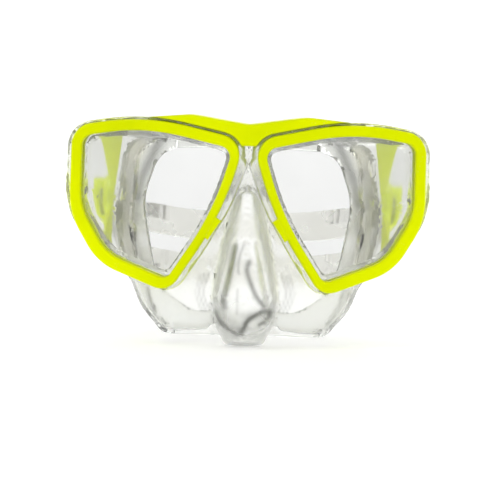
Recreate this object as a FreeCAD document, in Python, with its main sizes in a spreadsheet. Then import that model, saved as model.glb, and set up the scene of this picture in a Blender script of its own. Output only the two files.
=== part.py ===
import FreeCAD, Part
import math
import os

import Sketcher
from FreeCAD import Placement, Rotation, Vector

# Snorkel mask, millimetres. +Z is up, -Y is the way the wearer looks, and +X is the
# wearer's left. The origin is the centre of the face opening, level with the strap pivots.
# The left side is modelled and mirrored in the X = 0 plane.

DOC = FreeCAD.newDocument("snorkel_mask")
SHEET = DOC.addObject("Spreadsheet::Sheet", "Sizes")
PARTS = {}

DRIVING = {
    # corners of the lens ring's outer edge, in the lens plane: across, up, radius
    "brow_in_u": 0.5, "brow_in_v": 27.6, "brow_in_r": 10.0,
    "brow_mid_u": 48.2, "brow_mid_v": 38.6, "brow_mid_r": 110.0,
    "brow_out_u": 83.0, "brow_out_v": 33.4, "brow_out_r": 11.0,
    "temple_u": 85.1, "temple_v": -7.2, "temple_r": 34.0,
    "cheek_u": 71.6, "cheek_v": -31.2, "cheek_r": 28.0,
    "tip_u": 37.4, "tip_v": -44.7, "tip_r": 9.5,
    "nose_u": 12.2, "nose_v": -8.0, "nose_r": 160.0,
    # width of the ring's face along its brow, outer side, lower side and nose side
    "band_brow": 5.3, "band_side": 5.2, "band_lower": 6.0, "band_nose": 4.3,
    # how far the skirt's flange stands out past the ring on the same four sides
    "flange_brow": 1.3, "flange_side": 2.7, "flange_lower": 0.7, "flange_nose": 2.6,
    # the lens plane: distance in front of the origin, sweep back and tilt, in degrees
    "lens_forward": 62.0, "lens_sweep": 9.0, "lens_tilt": 8.0,
    # the stack that clamps the glass
    "glass_thickness": 3.2, "glass_lap": 1.6, "seat_lip": 1.6, "seat_show": 2.6,
    "channel_wall": 1.0, "ring_plate": 2.6, "ring_round": 1.2, "rim_thickness": 2.4,
    "rim_inset": 0.3, "fit_gap": 0.1, "soft_gap": 0.6,
    # the skirt's soft wall round the ring, and the lug of each ring that lies over it
    "gasket_level": 2.4, "lug_length": 11.0, "lug_reach": 1.3, "lug_root": 2.0, "lug_share": 0.85,
    # snap tabs that hold a ring to the main frame
    "tab_width": 7.0, "tab_thickness": 1.3, "tab_hook": 0.9, "tab_end": 1.0, "tab_play": 0.2,
    # brow bar: half outline in the lens plane, and how far it stands in front of the glass
    "bar_dip_v": 35.0, "bar_top_u": 26.0, "bar_top_v": 39.4, "bar_end_u": 53.0,
    "bar_end_v": 37.4, "bar_root_u": 45.0, "bar_root_v": 33.0, "bar_root_round": 3.0,
    "bar_drop_v": 24.9, "bar_round": 7.0, "bar_overlap": 12.0, "bar_proud": 2.4,
    "bar_front_round": 1.4,
    # skirt: walls, the two sections behind the lenses, and the head that it seals on
    "wall": 2.0, "lip_thickness": 1.3, "mid_y": -35.0, "rear_y": 16.0, "skirt_overlap": 4.0,
    "mid_brow_v": 34.0, "mid_top_u": 42.0, "mid_top_v": 36.5, "mid_out_u": 60.0, "mid_out_v": 29.0,
    "mid_temple_u": 64.6, "mid_temple_v": -6.0, "mid_cheek_u": 59.0, "mid_cheek_v": -40.0,
    "mid_low_u": 42.0, "mid_low_v": -65.5, "rear_top_u": 38.0, "rear_out_u": 58.5,
    "rear_temple_u": 62.0, "rear_cheek_u": 56.5, "skirt_round": 13.0,
    "head_half_width": 75.0, "head_half_depth": 95.0, "head_front": -35.0,
    # face opening
    "opening_top": 26.0, "opening_out_u": 53.0, "opening_out_v": 2.0, "opening_low_u": 44.0,
    "opening_low_v": -42.0, "opening_bottom_u": 26.0, "opening_bottom": -53.0,
    "opening_round": 13.0,
    # nose pocket: height, half width and front of each level, and the depth of its middle
    "pocket_back": -42.0,
    "root_z": 16.0, "root_w": 2.6, "root_y": -62.5,
    "bridge_z": 5.0, "bridge_w": 5.4, "bridge_y": -65.5,
    "ridge_z": -12.0, "ridge_w": 9.5, "ridge_y": -70.5,
    "nosetip_z": -32.0, "nosetip_w": 13.5, "nosetip_y": -76.0,
    "wing_z": -45.0, "wing_w": 15.5, "wing_y": -76.0,
    "base_z": -58.0, "base_w": 14.5, "base_y": -70.0,
    "under_z": -69.0, "under_w": 9.5, "under_y": -53.0,
    # swivel on the main frame's side arm
    "pivot_y": -14.0, "pivot_z": 2.0, "boss_gap": 2.4, "boss_thickness": 3.4, "boss_radius": 6.0,
    "upper_leg_width": 15.0, "upper_elbow_width": 11.5, "upper_leg_share": 0.60,
    "lower_leg_width": 10.0, "lower_elbow_width": 6.7, "lower_leg_share": 0.7,
    "leg_thickness": 2.6, "leg_elbow": 8.0,
    "leg_end": 5.6, "leg_end_thickness": 1.8, "leg_split": 0.2,
    "pin_radius": 2.5, "pin_head_radius": 4.0, "pin_head": 1.3, "run_gap": 0.05, "side_gap": 0.2,
    # buckle
    "plate_thickness": 1.8, "plate_radius": 8.5, "roller_back": 18.0, "roller_radius": 2.6,
    "roller_length": 17.6, "ear_thickness": 2.4, "ear_behind": 5.0, "ear_front": 12.0,
    "ear_round": 3.0,
    "roller_pin_radius": 1.0, "lever_pin_radius": 0.75, "rivet_head": 0.6, "rivet_spread": 0.7,
    "lever_pin_ahead": 9.6, "barrel_radius": 2.2, "lever_thickness": 1.6, "lever_length": 14.0,
    "lever_lip": 1.8, "lever_tooth": 0.8,
    "spring_thickness": 0.4, "spring_width": 5.0, "spring_foot_length": 1.6,
    # strap, before it droops
    "strap_thickness": 1.6, "strap_width": 16.8, "strap_clear": 0.15, "tail_length": 37.0,
    "strap_straight": 46.0, "strap_bend": 56.0, "strap_pad_width": 46.0, "strap_slot": 9.0,
    "strap_taper_y": 40.0, "strap_pad_y": 84.0, "strap_slot_y": 70.0, "strap_droop": 12.0,
    "strap_profile_round": 40.0, "strap_slot_round": 4.0,
    "keeper_wall": 1.4, "keeper_length": 6.0, "keeper_back": 30.0, "keeper_play": 0.3,
    # corners that are cut away later, the least rounding, and a reach past the whole mask
    "spare_round": 1.0, "least_round": 0.3, "beyond": 400.0,
}

EDGE_SIDES = ("brow", "brow", "side", "lower", "lower", "nose", "nose")
LETTERS = "abcdefgh"
CORNERS = ("brow_in", "brow_mid", "brow_out", "temple", "cheek", "tip", "nose")
ARC_SHARE = 0.62    # most of an outline's edge that one corner arc may take


# ---- the sheet -----------------------------------------------------------------------

def put(name, content):
    """Give the next free row of the sheet a name and a content."""
    put.row += 1
    SHEET.set(f"A{put.row}", name)
    SHEET.set(f"B{put.row}", str(content))
    SHEET.setAlias(f"B{put.row}", name)


put.row = 0


def size(name):
    """The value of a named cell, as a plain number."""
    return float(getattr(SHEET, name))


# ---- outlines with rounded corners ----------------------------------------------------

def inset(corners, widths):
    """Move each edge of a clockwise outline inwards by its own width, negative outwards."""
    lines = []
    for (u, v, _), (next_u, next_v, _), width in zip(corners, corners[1:] + corners[:1], widths):
        length = math.hypot(next_u - u, next_v - v)
        along = ((next_u - u) / length, (next_v - v) / length)
        lines.append((u + along[1] * width, v - along[0] * width, along))
    moved = []
    for index, (u, v, along) in enumerate(lines):
        last_u, last_v, last_along = lines[index - 1]
        cross = last_along[0] * along[1] - last_along[1] * along[0]
        reach = ((u - last_u) * along[1] - (v - last_v) * along[0]) / cross
        radius = corners[index][2] - (widths[index - 1] + widths[index]) / 2
        moved.append((last_u + last_along[0] * reach, last_v + last_along[1] * reach, radius))
    return moved


def fitted(corners):
    """Limit each corner's radius to what the edges beside it leave room for."""
    result = []
    count = len(corners)
    for index, (u, v, radius) in enumerate(corners):
        here = Vector(u, v, 0)
        before = Vector(*corners[index - 1][:2], 0) - here
        after = Vector(*corners[(index + 1) % count][:2], 0) - here
        half = before.getAngle(after) / 2
        shorter = min(before.Length, after.Length)
        roomy = min(radius, ARC_SHARE * shorter * math.tan(half))
        result.append((u, v, max(size("least_round"), roomy)))
    return result


def outline(label, place):
    """A closed sketch with straight edges and tangent corner arcs, bound to the sheet."""
    corners = OUTLINES[label]
    sketch = DOC.addObject("Sketcher::SketchObject", label)
    sketch.Placement = place
    count = len(corners)
    arcs = []
    for index, (u, v, radius) in enumerate(corners):
        here = Vector(u, v, 0)
        before = (Vector(*corners[index - 1][:2], 0) - here).normalize()
        after = (Vector(*corners[(index + 1) % count][:2], 0) - here).normalize()
        half = before.getAngle(after) / 2
        reach = radius / math.tan(half)
        centre = here + (before + after).normalize() * (radius / math.sin(half))
        arcs.append((here + before * reach, here + after * reach, centre, radius))
    lines = []
    for index in range(count):
        segment = Part.LineSegment(arcs[index][1], arcs[(index + 1) % count][0])
        lines.append(sketch.addGeometry(segment, False))
    for index, (first, last, centre, radius) in enumerate(arcs):
        angles = [math.atan2(end.y - centre.y, end.x - centre.x) for end in (first, last)]
        forward = (first - centre).cross(last - centre).z > 0
        circle = Part.Circle(centre, Vector(0, 0, 1), radius)
        arc = Part.ArcOfCircle(circle, *(angles if forward else angles[::-1]))
        name = sketch.addGeometry(arc, False)
        start, end = (1, 2) if forward else (2, 1)
        sketch.addConstraint(Sketcher.Constraint("Tangent", lines[index - 1], 2, name, start))
        sketch.addConstraint(Sketcher.Constraint("Tangent", name, end, lines[index], 1))
        corner = sketch.addGeometry(Part.Point(Vector(*corners[index][:2], 0)), True)
        sketch.addConstraint(Sketcher.Constraint("PointOnObject", corner, 1, lines[index - 1]))
        sketch.addConstraint(Sketcher.Constraint("PointOnObject", corner, 1, lines[index]))
        sizes = {
            "r": Sketcher.Constraint("Radius", name, radius),
            "u": Sketcher.Constraint("DistanceX", -1, 1, corner, 1, corners[index][0]),
            "v": Sketcher.Constraint("DistanceY", -1, 1, corner, 1, corners[index][1]),
        }
        for letter, constraint in sizes.items():
            number = sketch.addConstraint(constraint)
            sketch.setExpression(f"Constraints[{number}]", f"Sizes.{label}_{letter}_{LETTERS[index]}")
    return sketch


# ---- features --------------------------------------------------------------------------

def bound(feature, **expressions):
    """Bind properties of a feature to expressions over the sheet."""
    for name, expression in expressions.items():
        feature.setExpression(name, expression)
    return feature


def grown(label, wire, amount):
    """The wire moved outwards by a bound amount, negative inwards."""
    offset = DOC.addObject("Part::Offset2D", label)
    offset.Source = wire
    return bound(offset, Value=amount)


def slab(label, wire, low, high, along=None):
    """A wire extruded between two bound levels, along the lens axis unless told otherwise."""
    solid = DOC.addObject("Part::Extrusion", label)
    solid.Base = wire
    solid.DirMode = "Custom"
    solid.Dir = along or LENS_AXIS
    solid.Solid = True
    return bound(solid, LengthFwd=high, LengthRev=f"-({low})")


def joined(label, *pieces):
    """The pieces fused into one."""
    fused = DOC.addObject("Part::MultiFuse", label)
    fused.Shapes = list(pieces)
    fused.Refine = True
    return fused


def cut(label, base, *tools):
    """The base less each of the tools."""
    for number, tool in enumerate(tools):
        name = label if number == len(tools) - 1 else f"{label}_cut{number}"
        result = DOC.addObject("Part::Cut", name)
        result.Base = base
        result.Tool = tool
        result.Refine = True
        base = result
    return base


def common(label, *pieces):
    """What all the pieces share."""
    shared = DOC.addObject("Part::MultiCommon", label)
    shared.Shapes = list(pieces)
    return shared


def mirrored(label, source):
    """The source seen in the X = 0 plane."""
    other = DOC.addObject("Part::Mirroring", label)
    other.Source = source
    other.Normal = Vector(1, 0, 0)
    other.Base = Vector(0, 0, 0)
    return other


def box(label, place=None, **sides):
    """A box with bound sides and position: length, width, height, x, y, z."""
    solid = DOC.addObject("Part::Box", label)
    if place is not None:
        solid.Placement = place
    names = {"length": "Length", "width": "Width", "height": "Height"}
    for name, expression in sides.items():
        solid.setExpression(names.get(name, f"Placement.Base.{name}"), expression)
    return solid


def cylinder(label, axis, radius, height, x, y, z):
    """A cylinder along X or Z with a bound size and place."""
    solid = DOC.addObject("Part::Cylinder", label)
    if axis == "x":
        solid.Placement = Placement(Vector(), Rotation(Vector(0, 1, 0), 90))
    bound(solid, Radius=radius, Height=height)
    for name, expression in zip("xyz", (x, y, z)):
        solid.setExpression(f"Placement.Base.{name}", expression)
    return solid


def node(name, feature):
    """Register a finished sub-part under the name of its file."""
    feature.Label = name
    PARTS[name] = feature
    return feature


def both(name, feature):
    """Register a left sub-part and its mirrored right twin."""
    node(f"left_{name}", feature)
    node(f"right_{name}", mirrored(f"right_{name}_mirror", feature))


for alias, number in DRIVING.items():
    put(alias, number)
WORKED_OUT = {
    "glass_front": "=glass_thickness / 2",
    "glass_back": "=-glass_thickness / 2",
    "ring_front": "=glass_front + fit_gap + ring_plate",
    "seat_back": "=glass_back - seat_lip",
    "rim_back": "=seat_back - rim_thickness",
    "head_centre_y": "=head_front + head_half_depth",
    "boss_in": "=mid_temple_u + boss_gap",
    "boss_out": "=boss_in + boss_thickness",
    "plate_in": "=boss_out + side_gap",
    "plate_out": "=plate_in + plate_thickness",
    "wrap_radius": "=roller_radius + strap_clear + strap_thickness / 2",
    "strap_x": "=plate_in + strap_thickness / 2 + strap_clear",
    "roller_x": "=strap_x + wrap_radius",
    "roller_y": "=pivot_y + roller_back",
    "ear_in": "=roller_length / 2 + side_gap",
    "ear_out": "=ear_in + ear_thickness",
    "tail_x": "=roller_x + wrap_radius",
    "lever_in": "=tail_x + strap_thickness / 2 + side_gap",
    "lever_pin_x": "=lever_in - barrel_radius + lever_thickness / 2",
    "lever_pin_y": "=roller_y - lever_pin_ahead",
    "lever_out": "=lever_in + lever_thickness",
    "lever_half": "=ear_in - side_gap",
}
for alias, formula in WORKED_OUT.items():
    put(alias, formula)
DOC.recompute()


# ---- corners of every outline -----------------------------------------------------------

def half_section(top_u, out_u, temple_u, cheek_u, low_u):
    """Half of the skirt's outline in a vertical plane, with one edge past the middle."""
    middle = -size("skirt_overlap")
    corner = size("skirt_round")
    spare = size("spare_round")
    return [
        (middle, size("mid_brow_v"), spare),
        (top_u, size("mid_top_v"), 6 * corner),
        (out_u, size("mid_out_v"), corner),
        (temple_u, size("mid_temple_v"), 3 * corner),
        (cheek_u, size("mid_cheek_v"), 2 * corner),
        (low_u, size("mid_low_v"), corner),
        (middle, size("mid_low_v"), spare),
    ]


def strap_profile():
    """The strap seen from the side: narrow at the buckle and wide behind the head."""
    front = size("roller_y") - 2 * size("wrap_radius")
    back = size("strap_straight") + size("strap_bend") + 2 * size("strap_thickness")
    narrow = size("strap_width") / 2
    wide = size("strap_pad_width") / 2
    bend = size("strap_profile_round")
    spare = size("spare_round")
    upper = [(front, narrow, spare), (size("strap_taper_y"), narrow, bend),
             (size("strap_pad_y"), wide, bend), (back, wide, spare)]
    lower = [(y, -z, radius) for y, z, radius in upper[::-1]]
    return [(y, z + size("pivot_z"), radius) for y, z, radius in upper + lower]


def slot_profile():
    """The slot that splits the strap into two bands behind the head."""
    half = size("strap_slot") / 2
    front = size("strap_slot_y")
    back = size("strap_straight") + size("strap_bend") + 4 * size("strap_thickness")
    spare = size("spare_round")
    round_end = size("strap_slot_round")
    corners = [(front, half, round_end), (back, half, spare),
               (back, -half, spare), (front, -half, round_end)]
    return [(y, z + size("pivot_z"), radius) for y, z, radius in corners]


RING_CORNERS = [tuple(size(f"{name}_{letter}") for letter in "uvr") for name in CORNERS]
PORT_CORNERS = inset(RING_CORNERS, [size(f"band_{side}") for side in EDGE_SIDES])
FLANGE_CORNERS = inset(RING_CORNERS, [-size(f"flange_{side}") for side in EDGE_SIDES])
SIDE_CORNERS = ("top", "out", "temple", "cheek")
MID_CORNERS = half_section(*(size(f"mid_{name}_u") for name in SIDE_CORNERS), size("mid_low_u"))
REAR_CORNERS = half_section(*(size(f"rear_{name}_u") for name in SIDE_CORNERS), size("mid_low_u"))
WALLS = [size("wall")] * (len(CORNERS) - 1)
SPARE = size("spare_round")
OUTLINES = {
    "ring_edge": RING_CORNERS,
    "port_edge": PORT_CORNERS,
    "flange_edge": FLANGE_CORNERS,
    "bar_edge": [
        (-size("bar_overlap"), size("bar_dip_v"), SPARE),
        (0.0, size("bar_dip_v"), 3 * size("bar_round")),
        (size("bar_top_u"), size("bar_top_v"), 4 * size("bar_round")),
        (size("bar_end_u"), size("bar_end_v"), SPARE),
        (size("bar_root_u"), size("bar_root_v"), size("bar_root_round")),
        (size("bar_round"), size("bar_drop_v"), size("bar_round")),
        (-size("bar_overlap"), size("bar_drop_v"), SPARE),
    ],
    "chamber_out_lens": PORT_CORNERS,
    "chamber_out_collar": PORT_CORNERS,
    "chamber_out_mid": MID_CORNERS,
    "chamber_out_rear": REAR_CORNERS,
    "chamber_in_lens": inset(PORT_CORNERS, WALLS + [size("wall")]),
    "chamber_in_collar": inset(PORT_CORNERS, WALLS + [size("wall")]),
    "chamber_in_mid": inset(MID_CORNERS, WALLS + [0.0]),
    "chamber_in_rear": inset(REAR_CORNERS, WALLS + [0.0]),
    "opening_edge": [
        (-size("skirt_overlap"), size("opening_top"), SPARE),
        (size("opening_low_u"), size("opening_top"), size("opening_round")),
        (size("opening_out_u"), size("opening_out_v"), 2 * size("opening_round")),
        (size("opening_low_u"), size("opening_low_v"), size("opening_round")),
        (size("opening_bottom_u"), size("opening_bottom"), size("opening_round")),
        (-size("skirt_overlap"), size("opening_bottom"), SPARE),
    ],
    "strap_side": strap_profile(),
    "slot_side": slot_profile(),
}
for label, corners in OUTLINES.items():
    OUTLINES[label] = fitted(corners)
    for index, corner in enumerate(OUTLINES[label]):
        for letter, value in zip("uvr", corner):
            put(f"{label}_{letter}_{LETTERS[index]}", round(value, 4))
DOC.recompute()

LENS_PLACE = Placement(
    Vector(0, -size("lens_forward"), 0),
    Rotation(Vector(0, 0, 1), size("lens_sweep")) * Rotation(Vector(1, 0, 0), 90 + size("lens_tilt")),
)
LENS_AXIS = LENS_PLACE.Rotation.multVec(Vector(0, 0, 1))


# ---- lens stack --------------------------------------------------------------------------

ring_edge = outline("ring_edge", LENS_PLACE)
port_edge = outline("port_edge", LENS_PLACE)
flange_edge = outline("flange_edge", LENS_PLACE)
glass_edge = grown("glass_edge", port_edge, "Sizes.glass_lap")
channel_edge = grown("channel_edge", port_edge, "Sizes.glass_lap + Sizes.channel_wall")


def band_place(edge, share, inwards):
    """A placement on one edge of the ring: X along the edge, Y inwards, Z forwards."""
    u, v, _ = RING_CORNERS[edge]
    next_u, next_v, _ = RING_CORNERS[(edge + 1) % len(RING_CORNERS)]
    along = Vector(next_u - u, next_v - v, 0)
    turn = Rotation(Vector(0, 0, 1), math.degrees(math.atan2(along.y, along.x)) + 180)
    base = Vector(u, v, 0) + along * share + turn.multVec(Vector(0, inwards, 0))
    return LENS_PLACE * Placement(base, turn)


def patch(label, place, length, width, height, offset):
    """A box with bound sides in a band placement, its corner moved by an offset."""
    solid = DOC.addObject("Part::Box", label)
    solid.Placement = place * Placement(Vector(*offset), Rotation())
    return bound(solid, Length=length, Width=width, Height=height)


def tab_pieces(number, edge, share):
    """A snap tab with its hook, and the slot that it passes through."""
    place = band_place(edge, share, 0)
    half = size("tab_width") / 2
    play = size("tab_play")
    back = size("rim_back")
    shank = patch(f"tab_shank{number}", place, "Sizes.tab_width", "Sizes.tab_thickness",
                  "Sizes.glass_back - Sizes.rim_back + Sizes.tab_end",
                  (-half, 0, back - size("tab_end")))
    hook = patch(f"tab_hook{number}", place, "Sizes.tab_width", "Sizes.tab_thickness + Sizes.tab_hook",
                 "Sizes.tab_end - Sizes.fit_gap", (-half, 0, back - size("tab_end")))
    slot = patch(f"tab_slot{number}", place, "Sizes.tab_width + 2 * Sizes.tab_play",
                 "Sizes.tab_thickness + 2 * Sizes.tab_play", "Sizes.glass_back - Sizes.rim_back",
                 (-half - play, -play, back))
    return shank, hook, slot


TAB_EDGES = ((0, 0.78), (2, 0.5), (4, 0.42), (5, 0.36))    # edge, share of its length
tab_solids = []
tab_slots = []
for tab_number, (tab_edge, tab_share) in enumerate(TAB_EDGES):
    shank, hook, slot = tab_pieces(tab_number, tab_edge, tab_share)
    tab_solids += [shank, hook]
    tab_slots.append(slot)

glass = slab("glass", glass_edge, "Sizes.glass_back", "Sizes.glass_front")
both("lens", glass)


def front_rounded(label, base, level, radius):
    """The base with every edge at a level along the lens axis rounded."""
    DOC.recompute()
    back = LENS_PLACE.inverse()
    numbers = [number for number, edge in enumerate(base.Shape.Edges, 1)
               if all(abs(back.multVec(vertex.Point).z - level) < size("fit_gap") / 2
                      for vertex in edge.Vertexes)]
    fillet = DOC.addObject("Part::Fillet", label)
    fillet.Base = base
    fillet.Edges = [(number, radius, radius) for number in numbers]
    return fillet


ring_slab = slab("ring_slab", ring_edge, "Sizes.glass_back", "Sizes.ring_front")
ring_port = slab("ring_port", port_edge, "2 * Sizes.rim_back", "2 * Sizes.ring_front")
channel_room_edge = grown("channel_room_edge", channel_edge, "Sizes.fit_gap")
channel_room = slab("channel_room", channel_room_edge, "2 * Sizes.rim_back",
                    "Sizes.glass_front + Sizes.fit_gap")
ring_frame = cut("ring_frame", ring_slab, ring_port)
ring_soft = front_rounded("ring_soft", ring_frame, size("ring_front"), size("ring_round"))
lug = patch("lug", band_place(5, size("lug_share"), 0),
            "Sizes.lug_length", "Sizes.lug_reach + Sizes.lug_root",
            "Sizes.ring_front - Sizes.gasket_level - 4 * Sizes.fit_gap",
            (-size("lug_length") / 2, -size("lug_reach"), size("gasket_level") + size("fit_gap")))
ring_shell = cut("ring_shell", ring_soft, channel_room)
both("lens_ring", joined("ring", ring_shell, lug, *tab_solids))


# ---- main frame ---------------------------------------------------------------------------

rim_edge = grown("rim_edge", ring_edge, "-Sizes.rim_inset")
rim_open_edge = grown("rim_open_edge", port_edge, "Sizes.soft_gap")
rim = slab("rim", rim_edge, "Sizes.rim_back", "Sizes.seat_back")
rim_opening = slab("rim_opening", rim_open_edge, "4 * Sizes.rim_back", "2 * Sizes.ring_front")

bar_edge = outline("bar_edge", LENS_PLACE)
bar_slab = slab("bar_slab", bar_edge, "Sizes.rim_back", "Sizes.glass_front + Sizes.bar_proud")
bar = front_rounded("bar", bar_slab, size("glass_front") + size("bar_proud"),
                    size("bar_front_round"))
flange_room_edge = grown("flange_room_edge", flange_edge, "Sizes.fit_gap")
flange_room = slab("flange_room", flange_room_edge, "Sizes.seat_back", "3 * Sizes.ring_front")

half_space = box("half_space", length="Sizes.beyond", width="Sizes.beyond", height="Sizes.beyond",
                 x="0", y="-Sizes.beyond / 2", z="-Sizes.beyond / 2")
bar_half = common("bar_half", bar, half_space)


def leg(label, place, width, elbow_width, end_points):
    """A tapered leg: back from a patch on the rim, round an elbow and on to the boss."""
    thick = size("leg_thickness") / 2
    wires = []
    for long, level in ((width / 2, size("rim_back") + size("rim_inset")),
                        (elbow_width / 2, size("rim_back") - size("leg_elbow"))):
        corners = [(-long, -thick), (long, -thick), (long, thick), (-long, thick)]
        points = [place.multVec(Vector(x, y, level)) for x, y in corners]
        wires.append(Part.makePolygon(points + points[:1]))
    wires.append(Part.makePolygon(end_points + end_points[:1]))
    solid = DOC.addObject("Part::Feature", label)
    solid.Shape = Part.makeLoft(wires, True, True)
    return solid


def boss_patch(low, high):
    """Four corners inside the boss, between two heights above the pivot."""
    inner = size("boss_in")
    outer = inner + size("leg_end_thickness")
    heights = ((inner, high), (outer, high), (outer, low), (inner, low))
    return [Vector(x, size("pivot_y"), size("pivot_z") + z) for x, z in heights]


boss = cylinder("boss", "x", "Sizes.boss_radius", "Sizes.boss_thickness",
                "Sizes.boss_in", "Sizes.pivot_y", "Sizes.pivot_z")
upper_leg = leg("upper_leg", band_place(1, size("upper_leg_share"), size("band_brow") / 2),
                size("upper_leg_width"), size("upper_elbow_width"),
                boss_patch(size("leg_split"), size("leg_end")))
lower_leg = leg("lower_leg", band_place(3, size("lower_leg_share"), size("band_lower") / 2),
                size("lower_leg_width"), size("lower_elbow_width"),
                boss_patch(-size("leg_end"), -size("leg_split")))
arm = cut("arm", joined("arm_block", boss, upper_leg, lower_leg),
          cylinder("boss_bore", "x", "Sizes.pin_radius", "3 * Sizes.boss_thickness",
                   "Sizes.boss_in - Sizes.boss_thickness", "Sizes.pivot_y", "Sizes.pivot_z"))
rim_half = cut("rim_half", rim, rim_opening)
bar_trimmed = cut("bar_trimmed", bar_half, rim_opening, flange_room)
frame_half = cut("frame_half", joined("frame_block", rim_half, bar_trimmed, arm), *tab_slots)
node("main_frame", joined("frame_whole", frame_half, mirrored("frame_half_mirror", frame_half)))


# ---- skirt --------------------------------------------------------------------------------

def upright(y):
    """A vertical plane across the mask, facing forwards."""
    return Placement(Vector(0, y, 0), Rotation(Vector(1, 0, 0), 90))


def behind_glass(level):
    """A plane parallel to the glass at a level along the lens axis."""
    return LENS_PLACE * Placement(Vector(0, 0, level), Rotation())


def chamber(label):
    """One eye's chamber: a straight collar through the rim, then out to the face."""
    sections = [
        outline(f"{label}_lens", behind_glass(size("seat_back"))),
        outline(f"{label}_collar", behind_glass(size("rim_back") - size("soft_gap"))),
        outline(f"{label}_mid", upright(size("mid_y"))),
        outline(f"{label}_rear", upright(size("rear_y"))),
    ]
    loft = DOC.addObject("Part::Loft", label)
    loft.Sections = sections
    loft.Solid = True
    loft.Ruled = True
    return loft


def pocket(label, levels, shrink, lift):
    """The nose pocket lofted through level ellipses, shrunk all round by a bound amount."""
    rings = []
    for level in levels:
        ring = DOC.addObject("Part::Ellipse", f"{label}_{level}")
        ring.Placement = Placement(Vector(), Rotation(Vector(0, 0, 1), 90))
        bound(ring, MajorRadius=f"Sizes.pocket_back - Sizes.{level}_y - {shrink}",
              MinorRadius=f"Sizes.{level}_w - {shrink}")
        ring.setExpression("Placement.Base.y", "Sizes.pocket_back")
        raised = lift if level == levels[-1] else "0"
        ring.setExpression("Placement.Base.z", f"Sizes.{level}_z + {raised}")
        rings.append(ring)
    loft = DOC.addObject("Part::Loft", label)
    loft.Sections = rings
    loft.Solid = True
    loft.Ruled = True
    return loft


def head(label, spread):
    """The wearer's head as an upright elliptic column, grown by a bound amount."""
    ring = DOC.addObject("Part::Ellipse", f"{label}_ring")
    ring.Placement = Placement(Vector(), Rotation(Vector(0, 0, 1), 90))
    bound(ring, MajorRadius=f"Sizes.head_half_depth + {spread}",
          MinorRadius=f"Sizes.head_half_width + {spread}")
    ring.setExpression("Placement.Base.y", "Sizes.head_centre_y")
    return slab(label, ring, "4 * Sizes.mid_low_v", "-4 * Sizes.mid_low_v", Vector(0, 0, 1))


LEVELS = ("root", "bridge", "ridge", "nosetip", "wing", "base", "under")
chamber_out = chamber("chamber_out")
chamber_in = chamber("chamber_in")
pocket_out = pocket("pocket_out", LEVELS, "0", "0")
pocket_in = pocket("pocket_in", LEVELS[1:], "Sizes.wall", "Sizes.wall")
face = head("face", "0")
face_grown = head("face_grown", "Sizes.lip_thickness")

flange = slab("flange", flange_edge, "Sizes.seat_back", "Sizes.glass_back")
gasket_edge = grown("gasket_edge", ring_edge, "Sizes.fit_gap")
gasket = cut("gasket", slab("gasket_wall", flange_edge, "Sizes.glass_back", "Sizes.gasket_level"),
             slab("gasket_room", gasket_edge, "2 * Sizes.glass_back", "2 * Sizes.gasket_level"))
channel = slab("channel", channel_edge, "Sizes.glass_back", "Sizes.glass_front")
glass_pocket = slab("glass_pocket", glass_edge, "Sizes.glass_back", "3 * Sizes.ring_front")
seat_open_edge = grown("seat_open_edge", port_edge, "-Sizes.seat_show")
seat_opening = slab("seat_opening", seat_open_edge, "2 * Sizes.seat_back", "Sizes.ring_front")

skirt_outside = joined("skirt_outside", chamber_out, flange, gasket, channel, pocket_out)
skirt_block = common("skirt_block", skirt_outside, half_space)
void_block = cut("void_block", joined("void_inside", chamber_in, seat_opening, pocket_in), face_grown)

opening_edge = outline("opening_edge", upright(0))
opening = slab("opening", opening_edge, "-2 * Sizes.rear_y", "2 * Sizes.lip_thickness - Sizes.head_front",
               Vector(0, -1, 0))
skirt_half = cut("skirt_half", skirt_block, face, void_block, opening, glass_pocket, *tab_slots)
node("skirt", joined("skirt_whole", skirt_half, mirrored("skirt_half_mirror", skirt_half)))


# ---- swivel, buckle and roller ---------------------------------------------------------------

PIVOT = Vector(0, size("pivot_y"), size("pivot_z"))
DROOP = Rotation(Vector(1, 0, 0), -size("strap_droop"))
DROOPED = Placement(PIVOT - DROOP.multVec(PIVOT), DROOP)


def drooped(feature):
    """Turn a finished feature about the pivot axis, down to where the strap hangs."""
    feature.Placement = DROOPED
    return feature


def across(label, radius, reach, x, y):
    """A cylinder along Z, centred on the pivot's height."""
    return cylinder(label, "z", radius, f"2 * ({reach})", x, y, f"Sizes.pivot_z - ({reach})")


pin_shaft = cylinder("pin_shaft", "x", "Sizes.pin_radius",
                     "Sizes.plate_out - Sizes.boss_in + Sizes.side_gap",
                     "Sizes.boss_in", "Sizes.pivot_y", "Sizes.pivot_z")
pin_top = cylinder("pin_top", "x", "Sizes.pin_head_radius", "Sizes.pin_head",
                   "Sizes.plate_out + Sizes.side_gap", "Sizes.pivot_y", "Sizes.pivot_z")
both("pivot_pin", joined("pivot_pin_whole", pin_shaft, pin_top))

disc = cylinder("disc", "x", "Sizes.plate_radius", "Sizes.plate_thickness",
                "Sizes.plate_in", "Sizes.pivot_y", "Sizes.pivot_z")
tongue = box("tongue", length="Sizes.plate_thickness",
             width="Sizes.roller_back - Sizes.wrap_radius - Sizes.strap_thickness / 2 - Sizes.soft_gap",
             height="2 * Sizes.ear_out", x="Sizes.plate_in", y="Sizes.pivot_y",
             z="Sizes.pivot_z - Sizes.ear_out")


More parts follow.
